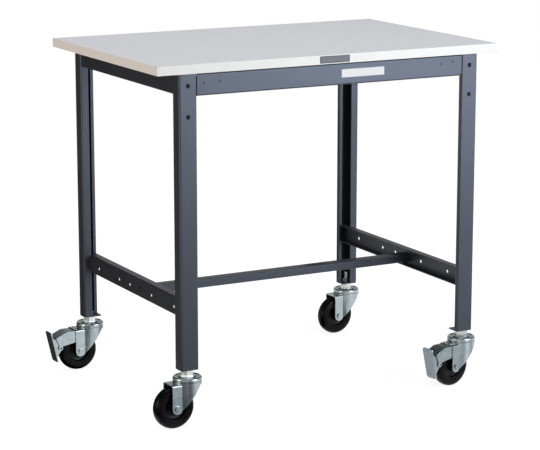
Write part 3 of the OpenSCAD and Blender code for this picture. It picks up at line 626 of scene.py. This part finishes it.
stems = [joints["swivel_" + c]["pos_m"][:2] for c in CORNERS]
sleeves = [threaded_sleeve(x, y, THREAD_LOW, THREAD_HIGH, CORE_R, CREST_R, PITCH) for x, y in stems]
threads = solid_from_grids("stem_threads", sleeves, zinc_sheet, "table")
print("threads: 4, points:", len(threads.data.vertices))

# %% [markdown]
# ## Weld marks and beads
#
# The corner brackets are spot welded behind the apron, and each weld leaves a shallow round mark in the
# paint: a ring with a sunken middle, turned from a profile of a few tenths of a millimetre. The rails are
# joined to the legs by a bead on the outer side. A bead is a tube along a line whose radius swells at every
# drop of the weld, and part of it lies in the steel.

# %% Weld marks
DIMPLE = [(0, 0.04, 0), (1.5, 0.05, 0.3), (2.1, 0.20, 0.25), (2.7, 0.16, 0.2), (3.2, 0.0, 0.1),
          (3.2, -0.3, 0.1), (0, -0.3, 0)]
MARK_PLACES = [(-0.2945, 0.7952), (-0.3339, 0.7940), (0.2925, 0.7961), (0.3251, 0.7998)]
apron_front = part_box("front_apron")[0].y
dimples = [turned(filleted(DIMPLE) * MM, (x, apron_front, z), (0, -1, 0), 48) for x, z in MARK_PLACES]
marks = solid_from_grids("weld_marks", dimples, weld_coat, "table", close_columns=False)
print("weld marks:", len(MARK_PLACES), "points:", len(marks.data.vertices))

# %% Weld beads
def bead(start, end, radius, drop, steps=20, rings=160):
    """A weld bead from start to end: a tube of radius r (0.82 + 0.18 |sin(pi t / drop)|) at the way t along
    it. Over the last r before an end this shrinks to a point with sqrt(distance from the end / r)."""
    start, end = np.array(start, float), np.array(end, float)
    length = np.linalg.norm(end - start)
    along = (end - start) / length
    t = np.linspace(0, length, rings)[:, None, None]
    u = np.linspace(0, 2 * np.pi, steps, endpoint=False)[None, :, None]
    swell = 0.82 + 0.18 * np.abs(np.sin(np.pi * t / drop))
    close = np.sqrt(np.clip(np.minimum(t, length - t) / radius, 0, 1))
    side = np.cross(along, (0, 0, 1.0) if abs(along[2]) < 0.9 else (1.0, 0, 0))
    side /= np.linalg.norm(side)
    tube = start + along * t + radius * swell * close * (np.cos(u) * side + np.sin(u) * np.cross(along, side))
    return tube.transpose(1, 0, 2)


BEAD_R = 0.0016
BEAD_DROP = 0.0028
BEAD_INSET = 0.004
beads = []
for side, outer in (("left", 0), ("right", 1)):
    for rail in (f"{side}_top_rail", f"{side}_low_rail"):
        low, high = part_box(rail)
        x = (low.x, high.x)[outer]
        for y in (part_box(f"leg_front_{side}")[1].y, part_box(f"leg_rear_{side}")[0].y):
            foot, head = (x, y, low.z + BEAD_INSET), (x, y, high.z - BEAD_INSET)
            beads.append(bead(foot, head, BEAD_R, BEAD_DROP))
seams = solid_from_grids("weld_beads", beads, weld_coat, "table", close_columns=False)
print("weld beads:", len(beads), "points:", len(seams.data.vertices))

# %% [markdown]
# ## Plate and label
#
# The front edge carries a small dark plate, and the apron a paper label. Both stay blank here. A plate with
# a raised border is one outline, a rectangle with round corners, that shrinks towards the middle while its
# depth follows a short profile.

# %% Helper: a small plate
def small_plate(centre, size, corner_r, profile, steps=16):
    """A thin plate facing -Y. Its outline is a rectangle with round corners, and each point (inset i,
    depth d) of the profile gives a smaller copy of it: x' = sign(x) max(|x| - i, 0),
    z' = z (1 - i / half height), y = -d. The profile runs from the middle of the face over the rim to the
    middle of the back."""
    half_width, half_height = size[0] / 2, size[1] / 2
    quarter = np.linspace(0, np.pi / 2, steps)
    angle = (quarter[None, :] + np.arange(4)[:, None] * np.pi / 2).ravel()
    x = np.repeat([1, -1, -1, 1], steps) * (half_width - corner_r) + corner_r * np.cos(angle)
    z = np.repeat([1, 1, -1, -1], steps) * (half_height - corner_r) + corner_r * np.sin(angle)
    inset, depth = np.array(profile).T
    inset = np.minimum(inset, half_height)[None, :]
    inner_x = np.sign(x)[:, None] * (np.abs(x)[:, None] - inset).clip(0)
    inner_z = z[:, None] * (1 - inset / half_height)
    return np.array(centre) + np.stack([inner_x, -depth[None, :] + 0 * inner_x, inner_z], axis=2)


print("small_plate() ready")

# %% Plate and label
blank_plate = finish(
    "blank_plate", coat,
    {"Colour": (0.040, 0.046, 0.060, 1), "Lighter": (0.047, 0.053, 0.069, 1), "Peel": 1500.0},
    edge_colour=(0.20, 0.21, 0.23, 1), edge_share=0.6, bump=0.00001, edge_width=0.0004)
paper_label = finish(
    "paper_label", grain,
    {"Colour": (0.69, 0.68, 0.66, 1), "Dust": (0.65, 0.64, 0.62, 1), "Grain": 1500.0, "Dusty": 0.6,
     "Rough low": 0.45, "Rough high": 0.6},
    edge_colour=(0.80, 0.80, 0.79, 1), edge_share=0.5, bump=0.00001, specular=0.3, edge_width=0.0004)
RIM = [(0.0085, 0.0009), (0.0022, 0.0009), (0.0017, 0.0014), (0.0008, 0.0015), (0.0002, 0.0013),
       (0, 0.0009), (0, -0.0002), (0.0085, -0.0002)]
SHEET = [(0.0095, 0.00012), (0.0003, 0.00012), (0, 0.00006), (0, -0.0001), (0.0095, -0.0001)]
edge_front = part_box("front_edging")[0].y
PLATE_PLACE, PLATE_SIZE, PLATE_CORNER = (0.0, edge_front, 0.8268), (0.078, 0.0165), 0.0015
LABEL_PLACE, LABEL_SIZE, LABEL_CORNER = (0.0783, apron_front, 0.7914), (0.1143, 0.019), 0.001
plate_grid = small_plate(PLATE_PLACE, PLATE_SIZE, PLATE_CORNER, RIM)
label_grid = small_plate(LABEL_PLACE, LABEL_SIZE, LABEL_CORNER, SHEET)
solid_from_grids("edge_plate", [plate_grid], blank_plate, "table", close_columns=False)
solid_from_grids("apron_label", [label_grid], paper_label, "table", close_columns=False)
print("plate and label are", round((apron_front - edge_front) / MM), "mm apart in depth")

# %% [markdown]
# ## The floor
#
# The photograph has a plain white background. The floor is pale, lit by the same lamps, and adds a steady
# white glow of its own for the camera and for reflections, so that it reads as white and still takes the
# table's soft shadow. Seen from below it is clear, so that the underside can be looked at.

# %% Helper: a flat sheet
def flat_sheet(name, corners, material):
    """A flat sheet through these four corners, for things of the stage such as the floor."""
    mesh = bpy.data.meshes.new(name)
    mesh.from_pydata(corners, [], [(0, 1, 2, 3)])
    mesh.materials.append(material)
    sheet = bpy.data.objects.new(name, mesh)
    bpy.context.scene.collection.objects.link(sheet)
    return sheet


print("flat_sheet() ready")

# %% Floor
WHITE = (1, 1, 1, 1)
FLOOR_REACH = 14
FLOOR_GLOW = 0.84
FLOOR_SHADE = (0.30, 0.30, 0.30, 1)
pale = bpy.data.materials.new("pale_floor")
pale.use_nodes = True
tree = pale.node_tree
tree.nodes.clear()
path = add(tree, "LightPath").outputs
seen = larger(tree, path["Is Camera Ray"], path["Is Glossy Ray"])
seen = larger(tree, seen, path["Is Transmission Ray"])
glow = add(tree, "Emission", {"Color": WHITE, "Strength": product(tree, seen, FLOOR_GLOW)}).outputs[0]
matt = add(tree, "BsdfDiffuse", {"Color": FLOOR_SHADE}).outputs[0]
lit = add(tree, "AddShader", {0: glow, 1: matt}).outputs[0]
below = add(tree, "NewGeometry").outputs["Backfacing"]
clear = add(tree, "BsdfTransparent").outputs[0]
both = add(tree, "MixShader", {0: below, 1: lit, 2: clear}).outputs[0]
tree.links.new(both, add(tree, "OutputMaterial").inputs["Surface"])
floor_corners = [(x * FLOOR_REACH, y * FLOOR_REACH, 0) for x, y in ((-1, -1), (1, -1), (1, 1), (-1, 1))]
floor = flat_sheet("floor", floor_corners, pale)
print("floor at height", floor.location.z)

# %% [markdown]
# ## The room
#
# The room is white to the camera. What the paint and the zinc mirror of it is white near the floor and dark
# above, like a studio with a pale wall and an unlit ceiling. For everything else it is a soft even light.

# %% World
WALL_TOP = 0.10
CEILING_EDGE = 0.46
CEILING_DARK = 0.05
SOFT_LIGHT = 0.55
world = bpy.data.worlds.new("studio")
bpy.context.scene.world = world
world.use_nodes = True
tree = world.node_tree
tree.nodes.clear()
path = add(tree, "LightPath").outputs
mirrored = larger(tree, path["Is Glossy Ray"], path["Is Transmission Ray"])
upward = add(tree, "SeparateXYZ", {"Vector": add(tree, "TexCoord").outputs["Generated"]}).outputs["Z"]
ceiling = spread(tree, upward, WALL_TOP, CEILING_EDGE, 1.0, CEILING_DARK)
soft = add(tree, "Background", {"Color": (0.97, 0.98, 1.0, 1), "Strength": SOFT_LIGHT}).outputs[0]
room = add(tree, "Background", {"Color": WHITE, "Strength": ceiling}).outputs[0]
white = add(tree, "Background", {"Color": WHITE, "Strength": 1.0}).outputs[0]
sky = add(tree, "MixShader", {0: mirrored, 1: soft, 2: room}).outputs[0]
sky = add(tree, "MixShader", {0: path["Is Camera Ray"], 1: sky, 2: white}).outputs[0]
tree.links.new(sky, add(tree, "OutputWorld").inputs["Surface"])
print("world:", world.name)

# %% [markdown]
# ## Lamps
#
# One large soft box stands at the front right. The legs' faces mirror it to the camera, which makes them
# blue-grey at the top and darker towards the floor, and leaves their left sides almost black, as in the
# photograph. A second one above gives the board its even light, and a small warm one at the left lights the
# band at the board's end.

# %% Lamps
def soft_box(name, place, target, width, height, power, colour=(1, 1, 1)):
    """A rectangular lamp at place that faces target, with its size in metres and its power in watts."""
    data = bpy.data.lights.new(name, "AREA")
    data.shape = "RECTANGLE"
    data.size = width
    data.size_y = height
    data.energy = power
    data.color = colour
    lamp = bpy.data.objects.new(name, data)
    lamp.location = place
    lamp.rotation_mode = "QUATERNION"
    lamp.rotation_quaternion = (Vector(target) - Vector(place)).to_track_quat("-Z", "Y")
    lamp.visible_camera = False
    bpy.context.scene.collection.objects.link(lamp)
    return lamp


front_box = soft_box("front_box", place=(1.34, -2.5, 1.05), target=(-0.1, -0.2, 0.75),
                     width=1.6, height=1.5, power=60, colour=(0.92, 0.97, 1.06))
top_box = soft_box("top_box", place=(-0.3, -0.2, 3.2), target=(0, 0, 0.8), width=2.6, height=2.2, power=33)
left_box = soft_box("left_box", place=(-2.4, -0.15, 0.60), target=(-0.3, -0.1, 0.4),
                    width=0.8, height=1.0, power=12.5, colour=(1.06, 0.97, 0.86))
print("lamps:", front_box.name, top_box.name, left_box.name)

# %% [markdown]
# ## Cards
#
# A photographer also puts cards round shiny things, so that a dark shape shows in them. Without them the
# legs' left sides and the zinc sheet would mirror nothing but white floor. Each card lies where the
# mirrored view of one part goes. One stands behind the left legs and one beside the rear right leg, and the
# others lie on the floor in front of the castors, beside them, between the legs and behind the table. Most
# of them are black. Two at the front right are pale, because the pedal and the castor there mirror
# something light. All of them show in reflections only.

# %% Cards
def mirror_card(name, corners, shade):
    """A flat card of this grey through these four corners that shows in reflections only."""
    material = bpy.data.materials.new(name)
    material.use_nodes = True
    material.node_tree.nodes["Principled BSDF"].inputs["Base Color"].default_value = (shade, shade, shade, 1)
    card = flat_sheet(name, corners, material)
    card.visible_camera = False
    card.visible_diffuse = False
    card.visible_shadow = False
    card.visible_transmission = False
    return card


CARD_HEIGHT = 0.001
STANDING_CARDS = [("back_card", (-1.70, 0.0, -0.45, 0.95), 0.75, 0.01),
                  ("rear_leg_card", (0.28, 0.13, 0.345, 0.80), 0.34, 0.01)]
FLOOR_CARDS = [("left_card", (-1.40, -0.75, -0.50, 0.24), 0.02),
               ("rear_left_card", (-0.95, 0.24, -0.38, 0.75), 0.02),
               ("front_pedal_card", (0.02, -0.37, 0.26, -0.12), 0.85),
               ("middle_card", (-0.05, 0.0, 0.29, 0.32), 0.03),
               ("behind_card", (-0.45, 0.80, 0.05, 1.50), 0.01),
               ("front_left_card", (-0.50, -0.75, -0.20, -0.33), 0.02),
               ("front_right_card", (0.15, -0.75, 1.2, -0.37), 0.62),
               ("front_card", (-0.60, -2.0, 1.2, -0.75), 0.18)]
for name, (x0, z0, x1, z1), y, shade in STANDING_CARDS:
    mirror_card(name, [(x0, y, z0), (x1, y, z0), (x1, y, z1), (x0, y, z1)], shade)
for name, (x0, y0, x1, y1), shade in FLOOR_CARDS:
    mirror_card(name, [(x, y, CARD_HEIGHT) for x, y in ((x0, y0), (x1, y0), (x1, y1), (x0, y1))], shade)
print("cards:", len(STANDING_CARDS) + len(FLOOR_CARDS))

# %% [markdown]
# ## The last update
#
# The view layer is brought up to date once more.

# %% Finish
bpy.context.view_layer.update()
